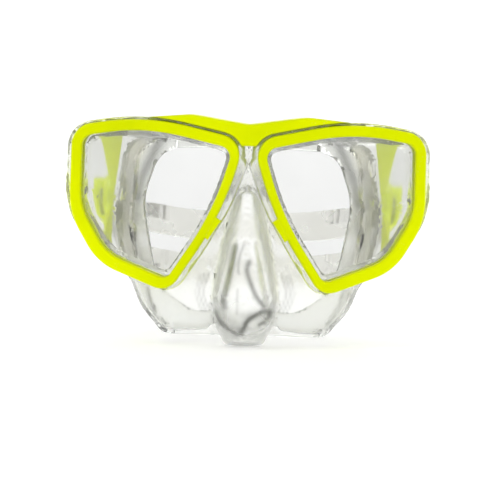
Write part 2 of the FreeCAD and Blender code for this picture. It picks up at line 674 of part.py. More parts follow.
def ear(label, z):
    """One side wall of the buckle, with its outer corners rounded."""
    block = box(label, length="Sizes.lever_out - Sizes.plate_in",
                width="Sizes.ear_front + Sizes.ear_behind", height="Sizes.ear_thickness",
                x="Sizes.plate_in", y="Sizes.roller_y - Sizes.ear_front", z=z)
    DOC.recompute()
    far = size("lever_out") - 0.01
    edges = [number for number, edge in enumerate(block.Shape.Edges, 1)
             if edge.BoundBox.XMin > far and edge.BoundBox.ZLength > edge.BoundBox.YLength]
    rounded = DOC.addObject("Part::Fillet", f"{label}_round")
    rounded.Base = block
    rounded.Edges = [(number, size("ear_round"), size("ear_round")) for number in edges]
    return rounded


upper_ear = ear("upper_ear", "Sizes.pivot_z + Sizes.ear_in")
lower_ear = ear("lower_ear", "Sizes.pivot_z - Sizes.ear_out")
plate_bore = cylinder("plate_bore", "x", "Sizes.pin_radius + Sizes.run_gap", "3 * Sizes.plate_thickness",
                      "Sizes.plate_in - Sizes.plate_thickness", "Sizes.pivot_y", "Sizes.pivot_z")
roller_pin_shaft = across("roller_pin_shaft", "Sizes.roller_pin_radius", "Sizes.ear_out",
                          "Sizes.roller_x", "Sizes.roller_y")
lever_pin_shaft = across("lever_pin_shaft", "Sizes.lever_pin_radius", "Sizes.ear_out",
                         "Sizes.lever_pin_x", "Sizes.lever_pin_y")
buckle = cut("buckle", joined("buckle_block", disc, tongue, upper_ear, lower_ear),
             plate_bore, roller_pin_shaft, lever_pin_shaft)
both("buckle_frame", drooped(buckle))


def riveted(name, shaft, radius, x, y):
    """A pin through both ears with a spread head at each end."""
    head_radius = f"{radius} + Sizes.rivet_spread"
    upper = cylinder(f"{name}_upper_head", "z", head_radius, "Sizes.rivet_head", x, y,
                     "Sizes.pivot_z + Sizes.ear_out")
    lower = cylinder(f"{name}_lower_head", "z", head_radius, "Sizes.rivet_head", x, y,
                     "Sizes.pivot_z - Sizes.ear_out - Sizes.rivet_head")
    both(name, drooped(joined(f"{name}_whole", shaft, upper, lower)))


riveted("roller_pin", roller_pin_shaft, "Sizes.roller_pin_radius", "Sizes.roller_x", "Sizes.roller_y")
riveted("lever_pin", lever_pin_shaft, "Sizes.lever_pin_radius", "Sizes.lever_pin_x", "Sizes.lever_pin_y")

roller_block = across("roller_block", "Sizes.roller_radius", "Sizes.roller_length / 2",
                      "Sizes.roller_x", "Sizes.roller_y")
roller_bore = across("roller_bore", "Sizes.roller_pin_radius + Sizes.run_gap", "Sizes.roller_length",
                     "Sizes.roller_x", "Sizes.roller_y")
both("strap_roller", drooped(cut("roller", roller_block, roller_bore)))


# ---- release lever and its spring --------------------------------------------------------------

barrel = across("barrel", "Sizes.barrel_radius", "Sizes.lever_half",
                "Sizes.lever_pin_x", "Sizes.lever_pin_y")
lever_plate = box("lever_plate", length="Sizes.lever_thickness", width="Sizes.lever_length",
                  height="2 * Sizes.lever_half", x="Sizes.lever_in", y="Sizes.lever_pin_y",
                  z="Sizes.pivot_z - Sizes.lever_half")
lever_lip = box("lever_lip", length="Sizes.lever_lip + Sizes.lever_thickness", width="Sizes.lever_lip",
                height="2 * Sizes.lever_half", x="Sizes.lever_in",
                y="Sizes.lever_pin_y + Sizes.lever_length - Sizes.lever_lip",
                z="Sizes.pivot_z - Sizes.lever_half")
lever_tooth = box("lever_tooth", length="Sizes.lever_tooth + Sizes.lever_thickness / 2",
                  width="Sizes.lever_thickness", height="2 * Sizes.lever_half - 4 * Sizes.lever_tooth",
                  x="Sizes.lever_in - Sizes.lever_tooth",
                  y="Sizes.roller_y - Sizes.wrap_radius - Sizes.lever_thickness / 2",
                  z="Sizes.pivot_z - Sizes.lever_half + 2 * Sizes.lever_tooth")
lever_bore = across("lever_bore", "Sizes.lever_pin_radius + Sizes.run_gap", "2 * Sizes.lever_half",
                    "Sizes.lever_pin_x", "Sizes.lever_pin_y")
lever_block = joined("lever_block", barrel, lever_plate, lever_lip, lever_tooth)
both("release_lever", drooped(cut("lever", lever_block, lever_bore)))


def leaf_spring():
    """A bent strip: its foot lies on the plate and its blade rises to the lever's barrel."""
    thick = size("spring_thickness")
    foot = size("plate_out")
    tip = size("lever_pin_x") - size("barrel_radius") - size("fit_gap")
    bend = size("lever_pin_y") - size("barrel_radius")
    back = size("lever_pin_y") + thick
    points = [
        (foot, bend - size("spring_foot_length")), (foot + thick, bend - size("spring_foot_length")),
        (foot + thick, bend - thick), (tip, back - thick), (tip, back), (foot, bend),
    ]
    low = size("pivot_z") - size("spring_width") / 2
    wire = Part.makePolygon([Vector(x, y, low) for x, y in points + points[:1]])
    spring = DOC.addObject("Part::Feature", "spring")
    spring.Shape = Part.Face(wire).extrude(Vector(0, 0, size("spring_width")))
    return spring


both("lever_spring", drooped(leaf_spring()))


# ---- strap and keepers ------------------------------------------------------------------------

def strap_path():
    """The middle line of the strap at the pivot's height, from one tail's end to the other's."""
    z = size("pivot_z")
    roller = Vector(size("roller_x"), size("roller_y"), z)
    tail_x = size("strap_x") + size("strap_thickness") + 2 * size("strap_clear")
    tail = Vector(tail_x, size("roller_y") + size("tail_length"), z)
    knee = Vector(tail_x, size("keeper_back") - size("keeper_length"), z)
    reach = knee - roller
    turn = math.atan2(reach.y, reach.x) - math.acos(size("wrap_radius") / reach.Length)

    def on_roller(angle):
        return roller + Vector(math.cos(angle), math.sin(angle), 0) * size("wrap_radius")

    run = (on_roller(turn) - knee).normalize()
    knee_length = size("keeper_length") / 2
    knee_start = knee + Vector(0, knee_length, 0)
    knee_end = knee + run * knee_length
    half_turn = run.getAngle(Vector(0, -1, 0)) / 2
    inwards = (run + Vector(0, 1, 0)).normalize()
    knee_radius = knee_length / math.tan(half_turn)
    knee_middle = knee + inwards * (knee_radius / math.cos(half_turn) - knee_radius)
    bend = size("strap_bend")
    centre = Vector(size("strap_x") - bend, size("strap_straight"), z)
    halfway = centre + Vector(bend, bend, 0) * math.sqrt(0.5)
    side = Vector(size("strap_x"), size("strap_straight"), z)
    back = centre + Vector(0, bend, 0)
    half = [
        Part.LineSegment(tail, knee_start),
        Part.Arc(knee_start, knee_middle, knee_end),
        Part.LineSegment(knee_end, on_roller(turn)),
        Part.Arc(on_roller(turn), on_roller(-math.pi / 2), on_roller(-math.pi)),
        Part.LineSegment(on_roller(-math.pi), side),
        Part.Arc(side, halfway, back),
    ]
    edges = [curve.toShape() for curve in half]
    others = [edge.mirror(Vector(0, 0, 0), Vector(1, 0, 0)) for edge in edges]
    middle = Part.makeLine(back, Vector(-back.x, back.y, z))
    path = Part.Wire(Part.__sortEdges__(edges + [middle] + others))
    return path, tail


def swept_band():
    """A band of the strap's thickness and full width swept along its path."""
    path, tail = strap_path()
    if path.OrderedVertexes[0].Point.x < 0:
        tail.x = -tail.x
    sideways = Vector(size("strap_thickness") / 2, 0, 0)
    upwards = Vector(0, 0, size("strap_pad_width") / 2)
    points = [tail + sideways + upwards, tail - sideways + upwards, tail - sideways - upwards,
              tail + sideways - upwards]
    band = DOC.addObject("Part::Feature", "band")
    band.Shape = path.makePipeShell([Part.makePolygon(points + points[:1])], True, False)
    return band


SIDE_VIEW = Placement(Vector(), Rotation(Vector(0, 1, 0), Vector(0, 0, 1), Vector(1, 0, 0), "XYZ"))
WIDE = "2 * Sizes.boss_out"
strap_side = slab("strap_side_slab", outline("strap_side", SIDE_VIEW), f"-{WIDE}", WIDE, Vector(1, 0, 0))
slot_side = slab("slot_side_slab", outline("slot_side", SIDE_VIEW), f"-{WIDE}", WIDE, Vector(1, 0, 0))
node("strap", drooped(cut("strap_whole", common("strap_band", swept_band(), strap_side), slot_side)))

KEEPER_INSIDE = "2 * Sizes.strap_thickness + 2 * Sizes.strap_clear + 3 * Sizes.keeper_play"
KEEPER_HEIGHT = "Sizes.strap_width + 2 * Sizes.keeper_play"
KEEPER_SIDE = "Sizes.strap_x - Sizes.strap_thickness / 2 - Sizes.keeper_play"
KEEPER_FLOOR = "Sizes.pivot_z - Sizes.strap_width / 2 - Sizes.keeper_play"
keeper_block = box("keeper_block", length=f"{KEEPER_INSIDE} + 2 * Sizes.keeper_wall",
                   width="Sizes.keeper_length", height=f"{KEEPER_HEIGHT} + 2 * Sizes.keeper_wall",
                   x=f"{KEEPER_SIDE} - Sizes.keeper_wall", y="Sizes.keeper_back",
                   z=f"{KEEPER_FLOOR} - Sizes.keeper_wall")
keeper_hole = box("keeper_hole", length=KEEPER_INSIDE, width="3 * Sizes.keeper_length",
                  height=KEEPER_HEIGHT, x=KEEPER_SIDE, y="Sizes.keeper_back - Sizes.keeper_length",
                  z=KEEPER_FLOOR)
both("tail_keeper", drooped(cut("keeper", keeper_block, keeper_hole)))


# ---- check and write ----------------------------------------------------------------------------

DOC.recompute()
for item in DOC.Objects:
    if "Invalid" in item.State or "Error" in item.State:
        raise RuntimeError(f"{item.Name} failed: {item.State}")
os.makedirs("parts", exist_ok=True)
for name, feature in PARTS.items():
    shape = feature.Shape
    if shape.isNull() or not shape.isValid() or not shape.Solids:
        raise RuntimeError(f"{name} has no sound shape")
    shape.exportStep(f"parts/{name}.step")
    print(f"{name}: {len(shape.Solids)} solid, {shape.Volume:.0f} cubic mm")
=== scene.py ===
import bpy
import math
import numpy as np
from mathutils import Matrix, Vector


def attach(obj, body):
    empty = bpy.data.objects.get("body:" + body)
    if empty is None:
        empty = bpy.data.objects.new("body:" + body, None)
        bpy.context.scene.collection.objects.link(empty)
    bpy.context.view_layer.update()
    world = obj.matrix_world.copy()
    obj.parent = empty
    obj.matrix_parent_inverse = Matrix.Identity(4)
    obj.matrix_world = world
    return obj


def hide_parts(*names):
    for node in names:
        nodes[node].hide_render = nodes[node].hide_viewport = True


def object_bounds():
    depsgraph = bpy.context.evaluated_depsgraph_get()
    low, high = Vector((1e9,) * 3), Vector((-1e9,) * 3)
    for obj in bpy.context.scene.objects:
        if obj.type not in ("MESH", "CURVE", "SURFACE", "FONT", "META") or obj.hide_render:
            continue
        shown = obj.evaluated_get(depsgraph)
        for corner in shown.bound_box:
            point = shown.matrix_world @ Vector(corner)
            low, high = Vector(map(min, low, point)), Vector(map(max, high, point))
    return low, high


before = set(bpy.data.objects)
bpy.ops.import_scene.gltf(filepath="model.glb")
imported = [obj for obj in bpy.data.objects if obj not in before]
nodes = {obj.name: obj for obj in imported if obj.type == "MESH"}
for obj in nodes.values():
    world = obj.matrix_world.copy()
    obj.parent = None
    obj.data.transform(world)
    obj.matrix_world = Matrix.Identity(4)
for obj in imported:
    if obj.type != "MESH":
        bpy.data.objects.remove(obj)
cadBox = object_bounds()
scene = bpy.context.scene
mm = 0.001
sides = ("left", "right")


# studio: camera, light and floor

studio = {
    "target": (1.9, -62.0, -23.2),    # middle of the view, on the lens plane
    "distance": 500.0,
    "viewWidth": 232.0,    # how much the view spans at that distance
    "roll": 1.7,    # degrees
    "sensor": 36.0,
    "skyFront": (1.0, 1.0, 1.0, 1.0),
    "skySide": (0.62, 0.63, 0.63, 1.0),
    "skyStrength": 0.66,
    "skyTurn": (0.35, 0.85),    # how far to the side the sky starts and ends to darken
    "floorGap": 0.5,
    "floorRadius": 2.2,
    "floorColour": (0.93, 0.93, 0.93, 1.0),
    "floorGlow": 0.30,
    "floorPoints": 96,
    # each step of the floor's raised rim: rise, growth
    "floorSteps": ((0.05, 1.12), (0.15, 1.09), (0.25, 1.06), (0.35, 1.03), (0.6, 1.01)),
    # name, place, size, power
    "lights": (
        ("keyLight", (-0.9, -1.1, 1.2), 1.2, 6.0),
        ("fillLight", (1.2, -0.8, 0.5), 1.0, 2.6),
        ("backLight", (0.1, 1.2, 0.9), 1.0, 4.0),
    ),
}


def addCamera():
    bpy.ops.object.camera_add()
    camera = bpy.context.object
    camera.name = "mainCamera"
    camera.data.sensor_width = studio["sensor"]
    camera.data.lens = studio["sensor"] * studio["distance"] / studio["viewWidth"]
    x, y, z = studio["target"]
    eye = Vector((x, y - studio["distance"], z)) * mm
    upright = Matrix.Rotation(math.radians(90), 4, "X")
    roll = Matrix.Rotation(math.radians(studio["roll"]), 4, "Z")
    camera.matrix_world = Matrix.Translation(eye) @ upright @ roll
    camera.data.clip_start = 0.01
    scene.camera = camera


def addLight(name, place, size, power):    # a round lamp that faces the origin
    bpy.ops.object.light_add(type="AREA", location=place)
    lamp = bpy.context.object
    lamp.name = name
    lamp.data.shape = "DISK"
    lamp.data.size = size
    lamp.data.energy = power
    lamp.rotation_euler = (-Vector(place)).to_track_quat("-Z", "Y").to_euler()


def addSky():
    world = bpy.data.worlds.new("studioSky")
    scene.world = world
    world.use_nodes = True
    tree = world.node_tree
    background = tree.nodes["Background"]
    coords = tree.nodes.new("ShaderNodeTexCoord")
    split = tree.nodes.new("ShaderNodeSeparateXYZ")
    width = tree.nodes.new("ShaderNodeMath")
    width.operation = "ABSOLUTE"
    spread = tree.nodes.new("ShaderNodeMapRange")
    spread.inputs["From Min"].default_value, spread.inputs["From Max"].default_value = studio["skyTurn"]
    spread.interpolation_type = "SMOOTHSTEP"
    blend = tree.nodes.new("ShaderNodeMix")
    blend.data_type = "RGBA"
    blend.inputs[6].default_value = studio["skyFront"]
    blend.inputs[7].default_value = studio["skySide"]
    tree.links.new(coords.outputs["Generated"], split.inputs[0])
    tree.links.new(split.outputs["X"], width.inputs[0])
    tree.links.new(width.outputs[0], spread.inputs["Value"])
    tree.links.new(spread.outputs[0], blend.inputs["Factor"])
    tree.links.new(blend.outputs[2], background.inputs["Color"])
    background.inputs["Strength"].default_value = studio["skyStrength"]


def addFloor():
    level = cadBox[0].z - studio["floorGap"] * mm
    bpy.ops.mesh.primitive_circle_add(vertices=studio["floorPoints"], radius=studio["floorRadius"],
                                      fill_type="NGON", location=(0, 0, level))
    floor = bpy.context.object
    floor.name = "studioFloor"
    bpy.ops.object.mode_set(mode="EDIT")
    bpy.ops.mesh.select_all(action="SELECT")
    bpy.ops.mesh.region_to_loop()
    for rise, grow in studio["floorSteps"]:
        bpy.ops.mesh.extrude_edges_move(TRANSFORM_OT_translate={"value": (0, 0, rise)})
        bpy.ops.transform.resize(value=(grow, grow, 1), center_override=(0, 0, level))
    bpy.ops.mesh.select_all(action="SELECT")
    bpy.ops.mesh.normals_make_consistent(inside=True)
    bpy.ops.object.mode_set(mode="OBJECT")
    bpy.ops.object.shade_smooth()
    paint = bpy.data.materials.new("floorPaint")
    paint.use_nodes = True
    shader = paint.node_tree.nodes["Principled BSDF"]
    shader.inputs["Base Color"].default_value = studio["floorColour"]
    shader.inputs["Roughness"].default_value = 0.9
    shader.inputs["Emission Color"].default_value = (1, 1, 1, 1)
    shader.inputs["Emission Strength"].default_value = studio["floorGlow"]
    floor.data.materials.append(paint)


bpy.ops.object.select_all(action="DESELECT")
scene.view_settings.view_transform = "Standard"
addCamera()
addSky()
for light in studio["lights"]:
    addLight(*light)
addFloor()
print("studio ready")


# node groups that several finishes share

def makeGroup(name, inputs, outputs):
    group = bpy.data.node_groups.new(name, "ShaderNodeTree")
    for label, value in inputs.items():
        socket = group.interface.new_socket(name=label, in_out="INPUT", socket_type="NodeSocketFloat")
        socket.default_value = value
    for label, kind in outputs.items():
        group.interface.new_socket(name=label, in_out="OUTPUT", socket_type=kind)
    return group, group.nodes.new("NodeGroupInput"), group.nodes.new("NodeGroupOutput")


def addNode(tree, kind, settings=None, **values):
    node = tree.nodes.new(f"ShaderNode{kind}")
    for key, value in (settings or {}).items():
        setattr(node, key, value)
    for key, value in values.items():
        node.inputs[key.replace("_", " ")].default_value = value
    return node


def mathNode(tree, operation, first, second):
    node = addNode(tree, "Math", {"operation": operation})
    for socket, value in zip(node.inputs, (first, second)):
        if isinstance(value, (int, float)):
            socket.default_value = value
        else:
            tree.links.new(value, socket)
    return node.outputs[0]


def makeMouldGrain():    # fine moulded texture over slow waviness, as a height from 0 to 1
    group, given, result = makeGroup("mouldGrain", {"Scale": 900.0, "Waviness": 0.5},
                                     {"Height": "NodeSocketFloat"})
    coords = addNode(group, "TexCoord")
    fine = addNode(group, "TexNoise", Detail=4.0, Roughness=0.6)
    slow = addNode(group, "TexNoise", Detail=1.0)
    slowScale = mathNode(group, "MULTIPLY", given.outputs["Scale"], 0.05)
    group.links.new(coords.outputs["Object"], fine.inputs["Vector"])
    group.links.new(coords.outputs["Object"], slow.inputs["Vector"])
    group.links.new(given.outputs["Scale"], fine.inputs["Scale"])
    group.links.new(slowScale, slow.inputs["Scale"])
    wave = mathNode(group, "MULTIPLY", slow.outputs["Fac"], given.outputs["Waviness"])
    total = mathNode(group, "ADD", fine.outputs["Fac"], wave)
    group.links.new(total, result.inputs["Height"])
    return group


def makeCloudPatches():    # soft uneven patches from 0 to 1
    group, given, result = makeGroup("cloudPatches", {"Scale": 40.0, "Contrast": 0.5},
                                     {"Mask": "NodeSocketFloat"})
    coords = addNode(group, "TexCoord")
    cloud = addNode(group, "TexNoise", Detail=3.0, Distortion=0.4)
    spread = addNode(group, "MapRange")
    low = mathNode(group, "MULTIPLY", given.outputs["Contrast"], 0.5)
    group.links.new(coords.outputs["Object"], cloud.inputs["Vector"])
    group.links.new(given.outputs["Scale"], cloud.inputs["Scale"])
    group.links.new(cloud.outputs["Fac"], spread.inputs["Value"])
    group.links.new(low, spread.inputs["From Min"])
    group.links.new(mathNode(group, "SUBTRACT", 1.0, low), spread.inputs["From Max"])
    group.links.new(spread.outputs[0], result.inputs["Mask"])
    return group


def makeEdgeHighlight():    # a mask along the edges, used to paint a highlight on them, and a normal that rounds them
    group, given, result = makeGroup("edgeRub", {"Radius": 0.0004, "Amount": 1.0},
                                     {"Mask": "NodeSocketFloat", "Normal": "NodeSocketVector"})
    rounded = addNode(group, "Bevel", {"samples": 4})
    shape = addNode(group, "NewGeometry")
    compare = addNode(group, "VectorMath", {"operation": "DOT_PRODUCT"})
    group.links.new(given.outputs["Radius"], rounded.inputs["Radius"])
    group.links.new(rounded.outputs["Normal"], compare.inputs[0])
    group.links.new(shape.outputs["Normal"], compare.inputs[1])
    away = mathNode(group, "SUBTRACT", 1.0, compare.outputs["Value"])
    strong = addNode(group, "MapRange", From_Max=0.3)
    group.links.new(away, strong.inputs["Value"])
    mask = mathNode(group, "MULTIPLY", strong.outputs[0], given.outputs["Amount"])
    group.links.new(mask, result.inputs["Mask"])
    group.links.new(rounded.outputs["Normal"], result.inputs["Normal"])
    return group


def makeFineScratches():    # short hairline marks, as a mask
    group, given, result = makeGroup("fineScratches", {"Scale": 300.0, "Amount": 0.5},
                                     {"Mask": "NodeSocketFloat"})
    coords = addNode(group, "TexCoord")
    turn = addNode(group, "Mapping")
    turn.inputs["Rotation"].default_value = (0.3, 0.9, 0.5)
    turn.inputs["Scale"].default_value = (1.0, 0.06, 1.0)
    lines = addNode(group, "TexVoronoi", {"feature": "DISTANCE_TO_EDGE"})
    thin = addNode(group, "MapRange", From_Min=0.0, From_Max=0.03, To_Min=1.0, To_Max=0.0)
    where = addNode(group, "TexNoise", Scale=60.0)
    some = addNode(group, "MapRange", From_Min=0.5, From_Max=0.62)
    group.links.new(coords.outputs["Object"], turn.inputs["Vector"])
    group.links.new(turn.outputs["Vector"], lines.inputs["Vector"])
    group.links.new(given.outputs["Scale"], lines.inputs["Scale"])
    group.links.new(lines.outputs["Distance"], thin.inputs["Value"])
    group.links.new(coords.outputs["Object"], where.inputs["Vector"])
    group.links.new(where.outputs["Fac"], some.inputs["Value"])
    marks = mathNode(group, "MULTIPLY", thin.outputs[0], some.outputs[0])
    group.links.new(mathNode(group, "MULTIPLY", marks, given.outputs["Amount"]), result.inputs["Mask"])
    return group


def makeDust():    # sparse pale specks, as a mask
    group, given, result = makeGroup("dust", {"Scale": 700.0, "Amount": 0.4}, {"Mask": "NodeSocketFloat"})
    coords = addNode(group, "TexCoord")
    specks = addNode(group, "TexVoronoi")
    small = addNode(group, "MapRange", From_Min=0.10, From_Max=0.16, To_Min=1.0, To_Max=0.0)
    where = addNode(group, "TexNoise", Scale=90.0, Detail=3.0)
    some = addNode(group, "MapRange", From_Min=0.52, From_Max=0.6)
    group.links.new(coords.outputs["Object"], specks.inputs["Vector"])
    group.links.new(given.outputs["Scale"], specks.inputs["Scale"])
    group.links.new(specks.outputs["Distance"], small.inputs["Value"])
    group.links.new(coords.outputs["Object"], where.inputs["Vector"])
    group.links.new(where.outputs["Fac"], some.inputs["Value"])
    both = mathNode(group, "MULTIPLY", small.outputs[0], some.outputs[0])
    group.links.new(mathNode(group, "MULTIPLY", both, given.outputs["Amount"]), result.inputs["Mask"])
    return group


groups = {
    "mouldGrain": makeMouldGrain(),
    "cloudPatches": makeCloudPatches(),
    "edgeRub": makeEdgeHighlight(),
    "fineScratches": makeFineScratches(),
    "dust": makeDust(),
}


# finishes

def startFinish(name):
    material = bpy.data.materials.new(name)
    material.use_nodes = True
    tree = material.node_tree
    return material, tree, tree.nodes["Principled BSDF"]


def useGroup(tree, name, **values):
    node = tree.nodes.new("ShaderNodeGroup")
    node.node_tree = groups[name]
    for key, value in values.items():
        node.inputs[key].default_value = value
    return node


def mixColours(tree, mask, first, second):
    node = addNode(tree, "Mix", {"data_type": "RGBA"})
    tree.links.new(mask, node.inputs["Factor"])
    for socket, value in ((node.inputs[6], first), (node.inputs[7], second)):
        if isinstance(value, tuple):
            socket.default_value = (*value, 1.0)
        else:
            tree.links.new(value, socket)
    return node.outputs[2]


def mapTo(tree, mask, low, high):
    node = addNode(tree, "MapRange", To_Min=low, To_Max=high)
    tree.links.new(mask, node.inputs["Value"])
    return node.outputs[0]


def bumpFrom(tree, height, distance, strength, normal=None):
    node = addNode(tree, "Bump", Distance=distance, Strength=strength)
    tree.links.new(height, node.inputs["Height"])
    if normal is not None:
        tree.links.new(normal, node.inputs["Normal"])
    return node.outputs["Normal"]


def setShader(shader, **values):
    for key, value in values.items():
        shader.inputs[key.replace("_", " ")].default_value = value


def neonPlastic(name, look):
    material, tree, shader = startFinish(name)
    patches = useGroup(tree, "cloudPatches", Scale=look["patchScale"], Contrast=0.6)
    edges = useGroup(tree, "edgeRub", Radius=look["edgeRadius"], Amount=0.5)
    scratches = useGroup(tree, "fineScratches", Scale=260.0, Amount=0.6)
    specks = useGroup(tree, "dust", Amount=0.25)
    grain = useGroup(tree, "mouldGrain", Scale=look["grainScale"])
    colour = mixColours(tree, patches.outputs["Mask"], look["colour"], look["shade"])
    # painted highlight: the edges are painted in a lighter colour
    colour = mixColours(tree, edges.outputs["Mask"], colour, look["edge"])
    colour = mixColours(tree, specks.outputs["Mask"], colour, (0.9, 0.92, 0.7))
    rough = mapTo(tree, patches.outputs["Mask"], look["roughness"] - 0.05, look["roughness"] + 0.07)
    rough = mathNode(tree, "ADD", rough, mathNode(tree, "MULTIPLY", scratches.outputs["Mask"], 0.25))
    tree.links.new(colour, shader.inputs["Base Color"])
    tree.links.new(rough, shader.inputs["Roughness"])
    bumps = bumpFrom(tree, grain.outputs["Height"], look["grainDepth"], 0.35, edges.outputs["Normal"])
    tree.links.new(bumps, shader.inputs["Normal"])
    # painted glow: Emission Strength makes the plastic light itself, which flattens its shading
    setShader(shader, IOR=1.49, Specular_IOR_Level=0.35, Specular_Tint=(0.80, 0.90, 0.02, 1.0),
              Subsurface_Weight=0.25, Subsurface_Radius=(0.004, 0.005, 0.0005), Subsurface_Scale=0.5,
              Emission_Strength=look["paintedGlow"])
    coords = addNode(tree, "TexCoord")
    split = addNode(tree, "SeparateXYZ")
    depth = addNode(tree, "MapRange", From_Min=look["glowTurn"][0], From_Max=look["glowTurn"][1])
    tree.links.new(coords.outputs["Object"], split.inputs[0])
    tree.links.new(split.outputs["Y"], depth.inputs["Value"])
    paintedGlow = mixColours(tree, depth.outputs[0], look["frontGlow"], look["colour"])
    tree.links.new(paintedGlow, shader.inputs["Emission Color"])    # painted glow: the plastic emits its own colour, dim at the front and full towards the back, so the arms behind the clear parts look lit
    return material


def clearSilicone(name, look):
    material, tree, shader = startFinish(name)
    patches = useGroup(tree, "cloudPatches", Scale=look["patchScale"], Contrast=0.5)
    grain = useGroup(tree, "mouldGrain", Scale=look["grainScale"], Waviness=2.0)
    specks = useGroup(tree, "dust", Amount=0.5)
    colour = mixColours(tree, patches.outputs["Mask"], look["colour"], look["shade"])
    colour = mixColours(tree, specks.outputs["Mask"], colour, (0.8, 0.8, 0.78))
    if "paintedShade" in look:    # painted shade and painted reflections along the folds, stored on the piece
        paintedShadeNode = addNode(tree, "Attribute", {"attribute_name": look["paintedShade"]})
        darkened = addNode(tree, "Mix", {"data_type": "RGBA", "blend_type": "MULTIPLY"}, Factor=1.0)
        tree.links.new(colour, darkened.inputs[6])
        tree.links.new(paintedShadeNode.outputs["Color"], darkened.inputs[7])
        colour = darkened.outputs[2]
    rough = mapTo(tree, patches.outputs["Mask"], look["roughness"] * 0.7, look["roughness"] * 1.4)
    rough = mathNode(tree, "ADD", rough, mathNode(tree, "MULTIPLY", specks.outputs["Mask"], 0.3))
    tree.links.new(colour, shader.inputs["Base Color"])
    tree.links.new(rough, shader.inputs["Roughness"])
    tree.links.new(bumpFrom(tree, grain.outputs["Height"], look["grainDepth"], 0.5), shader.inputs["Normal"])
    setShader(shader, IOR=look["bend"], Transmission_Weight=look["clearness"], Specular_IOR_Level=0.5)
    soak = addNode(tree, "VolumeAbsorption", Color=(*look["soakColour"], 1.0), Density=look["soak"])
    tree.links.new(soak.outputs[0], tree.nodes["Material Output"].inputs["Volume"])
    return material


def temperedGlass(look):
    material, tree, shader = startFinish("temperedGlass")
    smears = useGroup(tree, "cloudPatches", Scale=55.0, Contrast=0.7)
    scratches = useGroup(tree, "fineScratches", Scale=220.0, Amount=0.5)
    specks = useGroup(tree, "dust", Scale=500.0, Amount=0.5)
    colour = mixColours(tree, smears.outputs["Mask"], look["colour"], look["smear"])
    colour = mixColours(tree, specks.outputs["Mask"], colour, (0.8, 0.8, 0.8))
    rough = mapTo(tree, smears.outputs["Mask"], 0.0, look["roughness"])
    rough = mathNode(tree, "ADD", rough, mathNode(tree, "MULTIPLY", scratches.outputs["Mask"], 0.15))
    tree.links.new(colour, shader.inputs["Base Color"])
    tree.links.new(rough, shader.inputs["Roughness"])
    setShader(shader, IOR=1.5, Transmission_Weight=1.0)
    return material


def solidPlastic(name, look):
    material, tree, shader = startFinish(name)
    patches = useGroup(tree, "cloudPatches", Scale=120.0, Contrast=0.5)
    edges = useGroup(tree, "edgeRub", Radius=0.0003, Amount=0.6)
    grain = useGroup(tree, "mouldGrain", Scale=1400.0)
    specks = useGroup(tree, "dust", Amount=0.3)
    colour = mixColours(tree, patches.outputs["Mask"], look["colour"], look["shade"])
    # painted highlight: the edges are painted in a lighter colour
    colour = mixColours(tree, edges.outputs["Mask"], colour, look["edge"])
    colour = mixColours(tree, specks.outputs["Mask"], colour, (0.7, 0.7, 0.68))
    tree.links.new(colour, shader.inputs["Base Color"])
    tree.links.new(mapTo(tree, patches.outputs["Mask"], look["roughness"], look["roughness"] + 0.12),
                   shader.inputs["Roughness"])
    tree.links.new(bumpFrom(tree, grain.outputs["Height"], 0.00004, 0.4, edges.outputs["Normal"]),
                   shader.inputs["Normal"])
    setShader(shader, IOR=1.48)
    return material


def stainlessSteel(look):
    material, tree, shader = startFinish("stainlessSteel")
    coords = addNode(tree, "TexCoord")
    stretch = addNode(tree, "Mapping")
    stretch.inputs["Scale"].default_value = (1.0, 1.0, 0.05)
    lines = addNode(tree, "TexNoise", Scale=3500.0, Detail=3.0)
    tree.links.new(coords.outputs["Object"], stretch.inputs["Vector"])
    tree.links.new(stretch.outputs["Vector"], lines.inputs["Vector"])
    patches = useGroup(tree, "cloudPatches", Scale=200.0, Contrast=0.5)
    edges = useGroup(tree, "edgeRub", Radius=0.00015, Amount=0.8)
    colour = mixColours(tree, patches.outputs["Mask"], look["colour"], look["shade"])
    # painted highlight: the edges are painted in a lighter colour
    colour = mixColours(tree, edges.outputs["Mask"], colour, look["edge"])
    tree.links.new(colour, shader.inputs["Base Color"])
    tree.links.new(mapTo(tree, lines.outputs["Fac"], 0.22, 0.42), shader.inputs["Roughness"])
    tree.links.new(bumpFrom(tree, lines.outputs["Fac"], 0.00002, 0.4, edges.outputs["Normal"]),
                   shader.inputs["Normal"])
    setShader(shader, Metallic=1.0)
    return material


# the glow keys set a painted glow: the yellow plastic gives off light as if it were a lamp
ringLook = {
    "colour": (0.645, 0.725, 0.0), "shade": (0.58, 0.66, 0.0), "edge": (0.80, 0.90, 0.08),
    "patchScale": 26.0, "roughness": 0.26, "grainScale": 700.0, "grainDepth": 0.00003,
    "edgeRadius": 0.0007, "paintedGlow": 0.30, "frontGlow": (0.13, 0.15, 0.0), "glowTurn": (-0.056, -0.044),
}
frameLook = {
    "colour": (0.68, 0.76, 0.0), "shade": (0.58, 0.67, 0.0), "edge": (0.78, 0.88, 0.06), "patchScale": 34.0,
    "roughness": 0.34, "grainScale": 1200.0, "grainDepth": 0.00005, "edgeRadius": 0.0006, "paintedGlow": 0.55,
    "frontGlow": (0.07, 0.08, 0.0), "glowTurn": (-0.056, -0.044),
}
skirtLook = {
    "colour": (0.985, 0.99, 0.975), "shade": (0.955, 0.96, 0.935), "patchScale": 30.0, "roughness": 0.22,
    "grainScale": 160.0, "grainDepth": 0.0003, "clearness": 0.86, "bend": 1.28,
    # the attribute that holds the painted fold shade and painted reflections
    "soakColour": (0.66, 0.67, 0.64), "soak": 5.0, "paintedShade": "paintedFoldShade",
}
